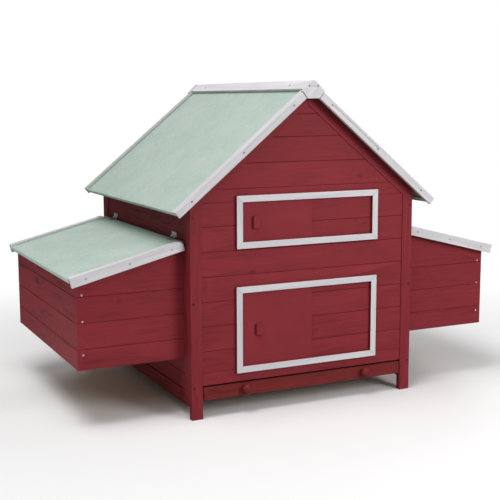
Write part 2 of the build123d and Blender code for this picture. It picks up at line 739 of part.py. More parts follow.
for side, hand in sides:
    with BuildPart() as lid_board:
        sloped(lid, side, lid_board_span, (0, roof_board_thick), (-lid_board_y, lid_board_y))
        for face in (-1, 1):
            drill(lid_trim_screws(side, face), (0, -face, 0), trim_screw, trim_screw_length)
        drill(lid_leaf_screws(side), lid.inward(side), hinge_screw, lid_leaf_screw_length)
    save(lid_board, f"{hand}_lid_board")

    with BuildPart() as lid_felt:
        start, end = lid_board_span
        under = roof_board_thick + fit_gap / 2
        corners = [(start, under), (end + fit_gap, under), (end + fit_gap, -fit_gap / 2),
                   (end - lid_fold, -fit_gap / 2), (end - lid_fold, -felt_thick),
                   (end + felt_thick, -felt_thick), (end + felt_thick, felt_top), (start, felt_top)]
        prism_y([lid.point(side, down, above) for down, above in corners], (-lid_board_y, lid_board_y))
        drill(lid_leaf_screws(side), lid.inward(side), hinge_screw, lid_leaf_screw_length)
    save(lid_felt, f"{hand}_lid_felt")

    with BuildPart() as lid_trims:
        for face in (-1, 1):
            leg_y = (face * (lid_half_length - trim_leg_thick), face * lid_half_length)
            strip_y = (leg_y[0], face * (lid_half_length - trim_strip_width))
            sloped(lid, side, lid_trim_span, (-lid_trim_drop, strip_top), leg_y)
            sloped(lid, side, lid_trim_span, (felt_top + fit_gap / 2, strip_top), strip_y)
        round_wall_end(side)
        for face in (-1, 1):
            drill(lid_trim_screws(side, face), (0, -face, 0), trim_screw, trim_screw_length)
    save(lid_trims, f"{hand}_lid_trims")

    with BuildPart() as hinge_lid_leaves:
        plate_above = (felt_top + fit_gap / 2, felt_top + fit_gap / 2 + hinge_leaf_thick)
        plate_end = hinge_axis_down + hinge_lid_leaf
        for centre in (-hinge_y, hinge_y):
            plate_y = (centre - hinge_length / 2, centre + hinge_length / 2)
            tab_y = (centre - knuckle_length / 2, centre + knuckle_length / 2)
            sloped(lid, side, (hinge_axis_down + leaf_relief, plate_end), plate_above, plate_y)
            sloped(lid, side, (hinge_axis_down, plate_end), plate_above, tab_y)
            rod_y(side * hinge_axis_x, hinge_axis_z, knuckle_radius, tab_y)
            rod_y(side * hinge_axis_x, hinge_axis_z, pin_radius + pin_clearance, plate_y, Mode.SUBTRACT)
        drill(lid_leaf_screws(side), lid.inward(side), hinge_screw, lid_leaf_screw_length)
    save(hinge_lid_leaves, f"{hand}_hinge_lid_leaves")

    with BuildPart() as lid_screws:
        for face in (-1, 1):
            drive_screws(lid_trim_screws(side, face), (0, -face, 0), trim_screw, trim_screw_length)
        drive_screws(lid_leaf_screws(side), lid.inward(side), hinge_screw, lid_leaf_screw_length)
    save(lid_screws, f"{hand}_lid_screws")

with BuildPart() as hinge_wall_leaves:
    for side, _ in sides:
        plate_x = (side * (wall_x + fit_gap), side * (wall_x + fit_gap + hinge_leaf_thick))
        plate_top = hinge_axis_z + hinge_wall_leaf
        for centre in (-hinge_y, hinge_y):
            plate_y = (centre - hinge_length / 2, centre + hinge_length / 2)
            board(plate_x, plate_y, (hinge_axis_z + leaf_relief, plate_top))
            for end in (-1, 1):
                far = centre + end * hinge_length / 2
                near = far - end * knuckle_length
                board(plate_x, (near, far), (hinge_axis_z, plate_top))
                rod_y(side * hinge_axis_x, hinge_axis_z, knuckle_radius, (near, far))
            rod_y(side * hinge_axis_x, hinge_axis_z, pin_radius + pin_clearance, plate_y, Mode.SUBTRACT)
        drill(wall_leaf_screws(side), (-side, 0, 0), hinge_screw, wall_leaf_screw_length)
save(hinge_wall_leaves, "hinge_wall_leaves")

with BuildPart() as hinge_pins:
    for side, _ in sides:
        for centre in (-hinge_y, hinge_y):
            half = hinge_length / 2 + fit_gap
            rod_y(side * hinge_axis_x, hinge_axis_z, pin_radius, (centre - half, centre + half))
            for end in (-1, 1):
                head_y = (centre + end * half, centre + end * (half + pin_head_thick))
                rod_y(side * hinge_axis_x, hinge_axis_z, pin_head_radius, head_y)
save(hinge_pins, "hinge_pins")

# ---------------------------------------------------------------- fasteners on the house

with BuildPart() as frame_screws:
    for face in (-1, 1):
        drive_screws(post_screws(face), (0, -face, 0), frame_screw, post_screw_length)
save(frame_screws, "post_screws")

with BuildPart() as roof_screws:
    for face in (-1, 1):
        drive_screws(barge_screws(face), (0, -face, 0), trim_screw, trim_screw_length)
        drive_screws(apex_screws(face), (0, -face, 0), trim_screw, trim_screw_length)
    for side, _ in sides:
        drive_screws(cap_screws(side), roof.inward(side), trim_screw, cap_screw_length)
save(roof_screws, "roof_screws")

with BuildPart() as nest_box_screws:
    for face in (-1, 1):
        drive_screws(nest_screws(face), (0, -face, 0), trim_screw, trim_screw_length)
    for side, _ in sides:
        drive_screws(wall_leaf_screws(side), (-side, 0, 0), hinge_screw, wall_leaf_screw_length)
save(nest_box_screws, "nest_box_screws")
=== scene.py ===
import math

import bmesh
import bpy
from mathutils import Matrix, Vector, noise


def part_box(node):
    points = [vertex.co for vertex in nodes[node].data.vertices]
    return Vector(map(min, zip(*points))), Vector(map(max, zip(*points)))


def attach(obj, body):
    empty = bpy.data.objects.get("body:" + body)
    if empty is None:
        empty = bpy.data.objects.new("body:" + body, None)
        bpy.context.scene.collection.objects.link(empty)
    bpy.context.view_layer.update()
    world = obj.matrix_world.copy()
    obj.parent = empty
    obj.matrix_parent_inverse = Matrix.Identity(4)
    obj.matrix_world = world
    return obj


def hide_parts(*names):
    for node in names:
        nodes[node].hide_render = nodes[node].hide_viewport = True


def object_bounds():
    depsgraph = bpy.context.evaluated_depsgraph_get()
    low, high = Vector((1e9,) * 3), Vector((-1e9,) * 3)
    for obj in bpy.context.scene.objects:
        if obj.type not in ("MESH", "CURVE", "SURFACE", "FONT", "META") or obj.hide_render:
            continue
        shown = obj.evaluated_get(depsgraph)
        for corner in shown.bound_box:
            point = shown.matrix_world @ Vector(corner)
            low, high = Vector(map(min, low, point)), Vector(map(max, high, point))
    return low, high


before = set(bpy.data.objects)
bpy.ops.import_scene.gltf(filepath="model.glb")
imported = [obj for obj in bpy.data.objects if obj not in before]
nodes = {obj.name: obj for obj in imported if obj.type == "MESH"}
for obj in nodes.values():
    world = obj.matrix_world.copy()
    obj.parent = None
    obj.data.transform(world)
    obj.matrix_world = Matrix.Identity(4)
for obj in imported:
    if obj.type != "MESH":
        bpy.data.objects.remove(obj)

cad_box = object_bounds()
SIDES = ((-1, "left"), (1, "right"))

# Timber sizes that the grain directions need, in metres
FRAME_WIDTH = 0.038
TRAY_SIDE = 0.014
NEST_PLANK = 0.012

# A sheet's upper faces point at least this far up, and at most this far along Y
UPWARD = 0.3
SIDEWAYS = 0.1

# ---------------------------------------------------------------- colours


def rgb(red, green, blue):
    """Linear colour from 8-bit sRGB values."""
    def linear(value):
        value /= 255
        return value / 12.92 if value <= 0.04045 else ((value + 0.055) / 1.055) ** 2.4
    return (linear(red), linear(green), linear(blue), 1.0)


RED = rgb(137, 48, 55)
THIN_RED = rgb(122, 45, 44)
RED_UNDER = rgb(166, 84, 84)
RED_SHADE = rgb(72, 14, 20)
WHITE = rgb(222, 220, 223)
TRIM_WHITE = rgb(213, 211, 214)
GREENISH_WHITE = rgb(186, 192, 187)
WHITE_UNDER = rgb(196, 186, 176)
WHITE_SHADE = rgb(120, 112, 110)
FIR = (rgb(203, 166, 120), rgb(172, 126, 80))
PLY = (rgb(150, 118, 84), rgb(122, 90, 60))
KNOT = rgb(92, 56, 30)
# Painted shade for the joints and recesses of bare wood
WOOD_CREVICE_SHADE = rgb(70, 46, 28)
FELT = (rgb(177, 197, 185), rgb(189, 203, 194))
FELT_WIPED = rgb(204, 209, 203)
FELT_DEEP = rgb(157, 183, 168)
# Painted shade for the felt's creases and for its corner by the walls
FELT_CREVICE_SHADE = rgb(78, 92, 84)
FELT_CORNER_SHADE = rgb(104, 134, 116)
FELT_EDGE = rgb(96, 100, 96)
SCREW_PAINT = (rgb(84, 26, 30), rgb(112, 44, 46))
# Zinc copies: the bright one carries a painted highlight for the hinge wall leaves, the dull one painted
# shade for the lid leaves and pins
BRIGHT_LIT_ZINC = (rgb(198, 198, 200), rgb(222, 220, 221), rgb(228, 224, 222))
WORN_ZINC = (rgb(150, 150, 152), rgb(172, 172, 173), rgb(186, 184, 182))
DULL_SHADED_ZINC = (rgb(104, 106, 106), rgb(128, 128, 128), rgb(150, 150, 148))

# Texture scales, in features per metre
GRAIN_SWAY = 5.0
GRAIN_BANDS = 150.0
GRAIN_FIBRES = 1100.0
KNOTS = 7.5
STAINS = 7.0
SCUFFS = 60.0
BRUSH_MARKS = 320.0
FELT_CHIPS = 620.0
FELT_GRIT = 1500.0
FELT_CLOUDS = 9.0
FELT_PATCHES = 34.0
FELT_WIPES = 22.0
ZINC_CRYSTALS = 420.0
ZINC_BLOOM = 180.0
SCREW_BLOTS = 700.0

# Most of a noise texture's values lie between these two
NOISE_LOW = 0.3
NOISE_HIGH = 0.7

# ---------------------------------------------------------------- reading the frame


def slope_frame(node, side):
    """(down-slope direction, outward normal, spans along down, Y and normal) of a sloping sheet."""
    mesh = nodes[node].data
    areas = {}
    for face in mesh.polygons:
        if face.normal.z > UPWARD and abs(face.normal.y) < SIDEWAYS:
            key = tuple(round(v, 3) for v in face.normal)
            total, normal = areas.get(key, (0.0, face.normal.copy()))
            areas[key] = (total + face.area, normal)
    normal = max(areas.values(), key=lambda entry: entry[0])[1].normalized()
    down = Vector((normal.z * side, 0, -abs(normal.x))).normalized()
    spans = []
    for direction in (down, Vector((0, 1, 0)), normal):
        values = [vertex.co.dot(direction) for vertex in mesh.vertices]
        spans.append((min(values), max(values)))
    return down, normal, spans


# ---------------------------------------------------------------- shader building


class Graph:
    """A material's node tree, built one node at a time."""

    def __init__(self, name):
        self.material = bpy.data.materials.new(name)
        self.material.use_nodes = True
        self.tree = self.material.node_tree
        self.tree.nodes.clear()

    def put(self, socket, value):
        if isinstance(value, bpy.types.NodeSocket):
            self.tree.links.new(value, socket)
        else:
            socket.default_value = value

    def node(self, kind, inputs=None, **settings):
        node = self.tree.nodes.new("ShaderNode" + kind)
        for key, value in settings.items():
            setattr(node, key, value)
        for key, value in (inputs or {}).items():
            self.put(node.inputs[key], value)
        return node

    def math(self, operation, first, second=0.0):
        return self.node("Math", {0: first, 1: second}, operation=operation).outputs[0]

    def product(self, *factors):
        result = factors[0]
        for factor in factors[1:]:
            result = self.math("MULTIPLY", result, factor)
        return result

    def total(self, *terms):
        result = terms[0]
        for term in terms[1:]:
            result = self.math("ADD", result, term)
        return result

    def vector(self, operation, first, second=(0, 0, 0)):
        node = self.node("VectorMath", {0: first, 1: second}, operation=operation)
        return node.outputs["Value" if operation in ("DOT_PRODUCT", "LENGTH") else "Vector"]

    def scale(self, vector, factor):
        return self.node("VectorMath", {0: vector, "Scale": factor}, operation="SCALE").outputs["Vector"]

    def remap(self, value, low, high, to_low=0.0, to_high=1.0, smooth=False):
        kind = "SMOOTHSTEP" if smooth else "LINEAR"
        return self.node("MapRange", {"Value": value, "From Min": low, "From Max": high,
                                      "To Min": to_low, "To Max": to_high},
                         interpolation_type=kind).outputs["Result"]

    def step(self, value, low, high, to_low=0.0, to_high=1.0):
        return self.remap(value, low, high, to_low, to_high, smooth=True)

    def vary(self, pattern, to_low, to_high):
        """A noise texture spread between two values."""
        return self.remap(pattern, NOISE_LOW, NOISE_HIGH, to_low, to_high)

    def mix(self, factor, first, second):
        node = self.node("Mix", data_type="RGBA")
        self.put(node.inputs[0], factor)
        self.put(node.inputs[6], first)
        self.put(node.inputs[7], second)
        return node.outputs[2]

    def choose(self, condition, yes, no):
        """One of two vectors."""
        node = self.node("Mix", data_type="VECTOR")
        self.put(node.inputs[0], condition)
        self.put(node.inputs[4], no)
        self.put(node.inputs[5], yes)
        return node.outputs[1]

    def noise(self, vector, scale, detail=2.0, roughness=0.5, distortion=0.0):
        return self.node("TexNoise", {"Vector": vector, "Scale": scale, "Detail": detail,
                                      "Roughness": roughness, "Distortion": distortion}).outputs[0]

    def cells(self, vector, scale, output):
        return self.node("TexVoronoi", {"Vector": vector, "Scale": scale}).outputs[output]

    def place(self):
        return self.node("TexCoord").outputs["Object"]

    def coordinate(self, axis):
        return self.node("SeparateXYZ", {0: self.place()}).outputs[axis]

    def normal(self):
        return self.node("NewGeometry").outputs["Normal"]

    def facing(self, axis):
        """1 where the surface faces along an axis, either way, and 0 where it stands beside it."""
        return self.math("ABSOLUTE", self.node("SeparateXYZ", {0: self.normal()}).outputs[axis])

    def red_part(self, colour):
        return self.node("SeparateColor", {0: colour}).outputs[0]

    def occlusion(self, distance, samples=6):
        return self.node("AmbientOcclusion", {"Distance": distance}, samples=samples).outputs["AO"]

    def edges(self, radius):
        """1 on edges and 0 on flat faces."""
        rounded = self.node("Bevel", {"Radius": radius}, samples=4).outputs[0]
        return self.remap(self.vector("DOT_PRODUCT", rounded, self.normal()), 0.99, 0.86)

    def surface(self, colour, roughness, height, depth, strength, **extra):
        """A solid surface with a bump, whose depth is in metres."""
        bump = self.node("Bump", {"Height": height, "Distance": depth, "Strength": strength})
        inputs = {"Base Color": colour, "Roughness": roughness, "Normal": bump.outputs[0]}
        inputs.update({key.replace("_", " "): value for key, value in extra.items()})
        shader = self.node("BsdfPrincipled", inputs)
        self.put(self.node("OutputMaterial").inputs["Surface"], shader.outputs[0])
        return self.material


# ---------------------------------------------------------------- grain directions


def along_x(graph):
    return (1, 0, 0)


def along_y(graph):
    return (0, 1, 0)


def along_z(graph):
    return (0, 0, 1)


def mirrored(graph, direction):
    """A direction in the XZ plane that leans away from the ridge on either side of it."""
    sign = graph.math("SIGN", graph.coordinate("X"))
    across = graph.math("MULTIPLY", sign, abs(direction.x))
    return graph.node("CombineXYZ", {"X": across, "Z": direction.z}).outputs[0]


def down_slope(down):
    """Along a roof slope, on either side of the ridge."""
    return lambda graph: mirrored(graph, down)


def beyond(axis, limit, outside, inside):
    """One direction where |axis| is past a limit, and another inside it."""
    def direction(graph):
        distance = graph.math("ABSOLUTE", graph.coordinate(axis))
        condition = graph.math("GREATER_THAN", distance, limit)
        return graph.choose(condition, outside(graph), inside(graph))
    return direction


def mitred(node):
    """Along each strip of a mitred rectangular frame."""
    low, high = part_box(node)
    centre = (low + high) / 2
    half = (high - low) / 2

    def direction(graph):
        sideways = graph.math("ABSOLUTE", graph.math("SUBTRACT", graph.coordinate("X"), centre.x))
        upward = graph.math("ABSOLUTE", graph.math("SUBTRACT", graph.coordinate("Z"), centre.z))
        from_side = graph.math("SUBTRACT", half.x, sideways)
        from_end = graph.math("SUBTRACT", half.z, upward)
        upright = graph.math("LESS_THAN", from_side, from_end)
        return graph.choose(upright, along_z(graph), along_x(graph))
    return direction


# ---------------------------------------------------------------- wood

# How far a pattern is squeezed along a board before it is drawn, so that it comes out stretched
SWAY_SQUEEZE = 0.5
KNOT_SQUEEZE = 0.72
BAND_SQUEEZE = 0.045
FIBRE_SQUEEZE = 0.02
STAIN_SQUEEZE = 0.6

# How the grain bends, in metres, and how near a knot's middle its core and its bend reach
SWAY_DEPTH = 0.012
KNOT_BEND = 0.014
KNOT_CORE = (0.095, 0.05)
KNOT_REACH = (0.32, 0.06)
BOARD_SHIFT = (3.1, 5.3, 7.7)


class Grain:
    """Grain patterns of a board: growth bands, fibres, knots and slow stains, each from 0 to 1."""

    def __init__(self, graph, direction, knots=True):
        along = direction(graph)
        place = graph.place()
        self.board = graph.node("NewGeometry").outputs["Random Per Island"]
        lengthwise = graph.scale(along, graph.vector("DOT_PRODUCT", place, along))
        across = graph.vector("SUBTRACT", place, lengthwise)
        offset = graph.scale(BOARD_SHIFT, self.board)

        def stretched(squeeze):
            """The place on this board, with its length squeezed so that patterns stretch along it."""
            cut = graph.vector("ADD", across, graph.scale(lengthwise, squeeze))
            return graph.vector("ADD", cut, offset)

        sway = graph.noise(stretched(SWAY_SQUEEZE), GRAIN_SWAY)
        bend = graph.scale((SWAY_DEPTH, SWAY_DEPTH, SWAY_DEPTH), sway)
        self.knot = 0.0
        if knots:
            spots = graph.cells(stretched(KNOT_SQUEEZE), KNOTS, "Distance")
            self.knot = graph.step(spots, *KNOT_CORE)
            ripple = graph.step(spots, *KNOT_REACH, 0.0, KNOT_BEND)
            bend = graph.vector("ADD", bend, graph.scale((1.0, 1.0, 1.0), ripple))
        curved = graph.vector("ADD", stretched(BAND_SQUEEZE), bend)
        fine = graph.vector("ADD", stretched(FIBRE_SQUEEZE), bend)
        self.bands = graph.noise(curved, GRAIN_BANDS, 3.0, 0.55)
        self.fibres = graph.noise(fine, GRAIN_FIBRES, 2.0, 0.6)
        self.stain = graph.noise(stretched(STAIN_SQUEEZE), STAINS, 3.0, 0.6)
        self.place = stretched(1.0)


def painted_wood(name, direction, paint, under, shade, wear, relief=1.0, streaks=0.0, rough_ends=0.0,
                 sides=None):
    """Brushed paint over planed softwood: raised grain, knots, painted shade in the joints and thin edges.
    """
    graph = Graph(name)
    grain = Grain(graph, direction, knots=relief > 0.5)
    bands = graph.vary(grain.bands, 0.0, 1.0)

    tone = graph.product(
        graph.remap(grain.board, 0.0, 1.0, 0.93, 1.05),
        graph.vary(grain.stain, 0.93, 1.06),
        graph.remap(bands, 0.0, 1.0, 1 - 0.08 * relief, 1 + 0.05 * relief),
        graph.vary(grain.fibres, 0.97, 1.03))
    base = paint[:3]
    if sides is not None:
        base = graph.mix(graph.remap(graph.facing("Y"), 0.4, 0.6), sides, paint)
    colour = graph.scale(base, tone)

    open_grain = graph.product(graph.step(grain.bands, 0.47, 0.38), graph.step(grain.stain, 0.62, 0.38))
    if rough_ends > 0:
        streaks = graph.remap(graph.facing("X"), 0.4, 0.6, streaks, rough_ends)
    colour = graph.mix(graph.product(open_grain, streaks), colour, shade)
    colour = graph.mix(graph.product(grain.knot, 0.35 * relief), colour, shade)
    # Painted shade: ambient occlusion darkens joints, corners and recesses towards the shade colour
    crevice_shade = graph.step(graph.occlusion(0.010), 0.45, 0.95, 1.0, 0.0)
    colour = graph.mix(graph.product(crevice_shade, 0.18), colour, shade)

    scuffs = graph.step(graph.noise(grain.place, SCUFFS, 4.0, 0.7), 0.38, 0.62)
    edge = graph.product(graph.edges(0.0014), scuffs, graph.math("SUBTRACT", 1.0, crevice_shade))
    colour = graph.mix(graph.product(edge, wear), colour, under)

    rough = graph.total(graph.remap(bands, 0.0, 1.0, 0.50, 0.62), graph.vary(grain.stain, -0.04, 0.06))
    height = graph.total(
        graph.product(bands, 0.55 * relief),
        graph.product(grain.fibres, 0.5 * relief),
        graph.product(grain.knot, 0.6),
        graph.product(graph.noise(grain.place, BRUSH_MARKS), 0.15))
    return graph.surface(colour, rough, height, 0.0005, 0.55, Specular_IOR_Level=0.1)


PLY_LAYER = 0.0036


def veneers(graph, normal):
    """Brightness of plywood's layers, which show on the edges of a sheet."""
    normal = mirrored(graph, normal)
    level = graph.vector("DOT_PRODUCT", graph.place(), normal)
    wave = graph.math("SINE", graph.product(level, 2 * math.pi / PLY_LAYER))
    facing = graph.math("ABSOLUTE", graph.vector("DOT_PRODUCT", graph.normal(), normal))
    return graph.remap(graph.product(wave, graph.remap(facing, 0.6, 0.3)), -1.0, 1.0, 0.72, 1.28)


def bare_wood(name, direction, pale, dark, layers=None):
    """Planed, unpainted softwood, or plywood where layers is the sheet's normal."""
    graph = Graph(name)
    grain = Grain(graph, direction)
    bands = graph.step(grain.bands, 0.32, 0.68)
    colour = graph.mix(bands, pale, dark)
    colour = graph.mix(graph.product(grain.knot, 0.8), colour, KNOT)
    tone = graph.product(
        graph.remap(grain.board, 0.0, 1.0, 0.88, 1.06),
        graph.vary(grain.stain, 0.86, 1.08),
        graph.vary(grain.fibres, 0.92, 1.05))
    if layers is not None:
        tone = graph.product(tone, veneers(graph, layers))
    colour = graph.scale(colour, tone)
    # Painted shade: ambient occlusion darkens joints, corners and recesses towards a dark brown
    crevice_shade = graph.step(graph.occlusion(0.012), 0.4, 0.95, 0.7, 0.0)
    colour = graph.mix(crevice_shade, colour, WOOD_CREVICE_SHADE)
    height = graph.total(graph.product(bands, 0.5), graph.product(grain.fibres, 0.7))
    return graph.surface(colour, graph.remap(bands, 0.0, 1.0, 0.72, 0.6), height, 0.0004, 0.6)


# ---------------------------------------------------------------- felt and metal


def mineral_felt(name, sweep):
    """Bitumen felt with pale green mineral chips, mottled and faintly wiped along one direction."""
    graph = Graph(name)
    place = graph.place()
    clouds = graph.noise(place, FELT_CLOUDS, 6.0, 0.68, 0.4)
    patches = graph.noise(place, FELT_PATCHES, 5.0, 0.7)
    along = graph.vector("DOT_PRODUCT", place, sweep)
    stretched = graph.vector("SUBTRACT", place, graph.scale(sweep, graph.product(along, 0.82)))
    wipes = graph.noise(stretched, FELT_WIPES, 5.0, 0.62)
    colour = graph.mix(graph.step(clouds, 0.36, 0.66), *FELT)
    colour = graph.mix(graph.step(wipes, 0.52, 0.74, 0.0, 0.4), colour, FELT_WIPED)
    colour = graph.mix(graph.step(patches, 0.52, 0.75, 0.0, 0.4), colour, FELT_DEEP)
    speck = graph.red_part(graph.cells(place, FELT_CHIPS, "Color"))
    colour = graph.scale(colour, graph.remap(speck, 0.0, 1.0, 0.86, 1.12))

    # Painted shade: ambient occlusion darkens the felt in creases beside the trims and caps
    crevice_shade = graph.step(graph.occlusion(0.014), 0.5, 0.97, 0.7, 0.0)
    colour = graph.mix(crevice_shade, colour, FELT_CREVICE_SHADE)
    # Painted shade: wide ambient occlusion darkens the felt towards deep green near walls and under the
    # eaves
    corner = graph.step(graph.occlusion(0.15, 8), 0.5, 0.95, 0.6, 0.0)
    colour = graph.mix(corner, colour, FELT_CORNER_SHADE)
    edge = graph.product(graph.edges(0.0012), graph.remap(patches, 0.4, 0.6), 0.35)
    colour = graph.mix(edge, colour, FELT_EDGE)

    chips = graph.math("SUBTRACT", graph.product(speck, 0.6), graph.cells(place, FELT_CHIPS, "Distance"))
    grit = graph.product(graph.cells(place, FELT_GRIT, "Distance"), 0.4)
    height = graph.math("SUBTRACT", chips, grit)
    return graph.surface(colour, graph.vary(patches, 0.86, 0.95), height, 0.0006, 0.5)


def zinc(name, dark, light, bloomed, shine):
    """Zinc plate, with faint crystals and a little bloom."""
    graph = Graph(name)
    place = graph.place()
    facet = graph.red_part(graph.cells(place, ZINC_CRYSTALS, "Color"))
    bloom = graph.noise(place, ZINC_BLOOM, 4.0, 0.6)
    dulled = graph.step(bloom, 0.5, 0.75, 0.0, 0.8)
    colour = graph.mix(dulled, graph.mix(facet, dark, light), bloomed)
    rough = graph.total(graph.remap(facet, 0.0, 1.0, 0.30, 0.42), graph.product(dulled, 0.25))
    metal = graph.remap(dulled, 0.0, 1.0, shine, shine / 2)
    return graph.surface(colour, rough, bloom, 0.0001, 0.3, Metallic=metal)


def painted_steel(name):
    """Screw heads painted over in the wall's dark red."""
    graph = Graph(name)
    blots = graph.noise(graph.place(), SCREW_BLOTS, 3.0)
    colour = graph.mix(graph.step(blots, 0.4, 0.7), *SCREW_PAINT)
    return graph.surface(colour, graph.vary(blots, 0.35, 0.55), blots, 0.0002, 0.6)


# ---------------------------------------------------------------- materials of the CAD nodes

roof_down, roof_normal, _ = slope_frame("right_roof_board", 1)
lid_down, lid_normal, _ = slope_frame("right_lid_board", 1)
stile_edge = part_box("left_side_frame")[1].y - FRAME_WIDTH
nest_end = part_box("left_nest_planks")[1].y - NEST_PLANK
tray_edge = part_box("tray_boards")[1].x - TRAY_SIDE
DIRECTIONS = {
    "x": along_x, "y": along_y, "z": along_z,
    "roof": down_slope(roof_down), "lid": down_slope(lid_down),
    "side_frame": beyond("Y", stile_edge, along_z, along_y),
    "nest": beyond("Y", nest_end, along_x, along_y),
    "tray": beyond("X", tray_edge, along_y, along_x),
    "upper_frame": mitred("upper_door_frame"),
    "lower_frame": mitred("lower_door_frame"),
}

# Each node's grain direction, by material
RED_NODES = {
    "front_wall_planks": "x", "back_wall_planks": "x", "front_rails": "x", "back_rails": "x",
    "front_door_jambs": "z", "left_side_frame": "side_frame", "right_side_frame": "side_frame",
    "left_side_planks": "y", "right_side_planks": "y", "left_nest_planks": "nest",
    "right_nest_planks": "nest", "tray_runners": "y",
    "front_left_post": "z", "front_right_post": "z", "back_left_post": "z", "back_right_post": "z",
    "front_left_rafter": "roof", "front_right_rafter": "roof", "back_left_rafter": "roof",
    "back_right_rafter": "roof",
}
TRAY_NODES = {"tray_boards": "tray", "tray_knobs": "y"}
SMOOTH_RED_NODES = {"upper_door_panel": "x", "lower_door_panel": "x",
                    "upper_door_handle": "z", "lower_door_handle": "z"}
CAP_NODES = {"left_ridge_cap": "y", "right_ridge_cap": "y"}
TRIM_NODES = {"front_left_barge": "roof", "front_right_barge": "roof", "apex_plates": "x",
              "left_lid_trims": "lid", "right_lid_trims": "lid"}
DOOR_FRAME_NODES = {"upper_door_frame": "upper_frame", "lower_door_frame": "lower_frame"}
# The back barges take a greyer, greener white than the front trims
GREENISH_NODES = {"back_barges": "roof"}
FIR_NODES = {"perches": "y", "perch_cleats": "x", "nest_floors": "y", "nest_dividers": "x",
             "nest_corner_posts": "z", "tray_bottom": "y", "ridge_beam": "y"}
ROOF_NODES = {"left_roof_board": "roof", "right_roof_board": "roof"}
LID_NODES = {"left_lid_board": "lid", "right_lid_board": "lid"}
# Lit and shaded copies of one zinc: the hinges' wall leaves get a painted highlight, their lid leaves and
# pins painted shade; the screws use the same two zincs
BRIGHT_LIT_NODES = ["hinge_wall_leaves", "nest_box_screws"]
WORN_NODES = ["left_lid_screws", "right_lid_screws"]
DULL_SHADED_NODES = ["hinge_pins", "left_hinge_lid_leaves", "right_hinge_lid_leaves", "roof_screws"]

# Rounds of the edges, in metres
SAWN_EDGE = 0.0008
TRIM_EDGE = 0.0007
FINE_EDGE = 0.0006
PLY_EDGE = 0.0005
METAL_EDGE = 0.0002
WELD_GAP = 1e-6
EDGE_ANGLE = math.radians(32)


def finish_nodes(names, material, edge):
    """Give CAD nodes a material, and soften their edges with a small round."""
    for name in names:
        piece = nodes[name]
        piece.data.materials.clear()
        piece.data.materials.append(material)
        weld = piece.modifiers.new("weld", "WELD")
        weld.merge_threshold = WELD_GAP
        bevel = piece.modifiers.new("soft_edges", "BEVEL")
        bevel.width = edge
        bevel.segments = 2
        bevel.limit_method = "ANGLE"
        bevel.angle_limit = EDGE_ANGLE


def finish_wood(group, prefix, make, edge, **look):
    """Finish a group of wooden nodes, with one material for each grain direction."""
    for key in sorted(set(group.values())):
        names = [name for name in group if group[name] == key]
        finish_nodes(names, make(prefix + key, DIRECTIONS[key], **look), edge)


red_look = {"under": RED_UNDER, "shade": RED_SHADE}
white_look = {"under": WHITE_UNDER, "shade": WHITE_SHADE, "relief": 0.25}
finish_wood(RED_NODES, "red_paint_", painted_wood, SAWN_EDGE,
            paint=RED, wear=0.4, streaks=0.14, rough_ends=0.85, **red_look)
finish_wood(TRAY_NODES, "thin_red_paint_", painted_wood, SAWN_EDGE,
            paint=THIN_RED, wear=0.4, streaks=0.45, **red_look)
finish_wood(SMOOTH_RED_NODES, "red_paint_smooth_", painted_wood, FINE_EDGE,
            paint=RED, wear=0.3, relief=0.35, **red_look)
finish_wood(CAP_NODES, "white_paint_", painted_wood, TRIM_EDGE, paint=WHITE, wear=0.35, **white_look)
finish_wood(TRIM_NODES, "trim_paint_", painted_wood, TRIM_EDGE, paint=TRIM_WHITE, wear=0.35, **white_look)
finish_wood(DOOR_FRAME_NODES, "frame_paint_", painted_wood, TRIM_EDGE,
            paint=TRIM_WHITE, wear=0.35, sides=RED, **white_look)
finish_wood(GREENISH_NODES, "dusty_paint_", painted_wood, TRIM_EDGE, paint=GREENISH_WHITE, wear=0.2, **white_look)
finish_wood(FIR_NODES, "bare_fir_", bare_wood, SAWN_EDGE, pale=FIR[0], dark=FIR[1])
finish_wood(ROOF_NODES, "plywood_", bare_wood, PLY_EDGE, pale=PLY[0], dark=PLY[1], layers=roof_normal)
finish_wood(LID_NODES, "plywood_", bare_wood, PLY_EDGE, pale=PLY[0], dark=PLY[1], layers=lid_normal)
# Painted highlight on the hinge wall leaves and painted shade on the lid leaves and pins, as two copies of
# zinc
finish_nodes(BRIGHT_LIT_NODES, zinc("bright_lit_zinc", *BRIGHT_LIT_ZINC, shine=0.25), METAL_EDGE)
finish_nodes(WORN_NODES, zinc("worn_zinc", *WORN_ZINC, shine=0.3), METAL_EDGE)
finish_nodes(DULL_SHADED_NODES, zinc("dull_shaded_zinc", *DULL_SHADED_ZINC, shine=0.6), METAL_EDGE)
finish_nodes(["post_screws"], painted_steel("painted_steel"), METAL_EDGE)

# ---------------------------------------------------------------- made objects


def mesh_object(name, build, material):
    """Put a finished bmesh into the scene as an object with one material."""
    mesh = bpy.data.meshes.new(name)
    build.to_mesh(mesh)
    build.free()
    mesh.materials.append(material)
    made = bpy.data.objects.new(name, mesh)
    bpy.context.scene.collection.objects.link(made)
    return made


# ---------------------------------------------------------------- felt sheets

# Sizes of the felt, in metres
FELT_THICK = 0.002
FELT_ROUND = 0.0035
FELT_LIFT = 0.0016
FELT_STEP = 0.014
ROOF_FOLD = 0.024
LID_FOLD = 0.016

# How far the trims, the ridge cap and the hinges press the felt flat, and how far it takes to rise
TRIM_COVER = 0.030
CAP_COVER = 0.026
HINGE_COVER = 0.028
COVER_FADE = 0.050

# Waves of the felt per metre, across and down the slope, and the place of their pattern
SWELL = (7.0, 6.0, 3.7)
RIPPLE = (21.0, 12.0, 8.1)
SWELL_SHARE = 0.8
RIPPLE_SHARE = 0.3
SMOOTH_ANGLE = math.radians(40)


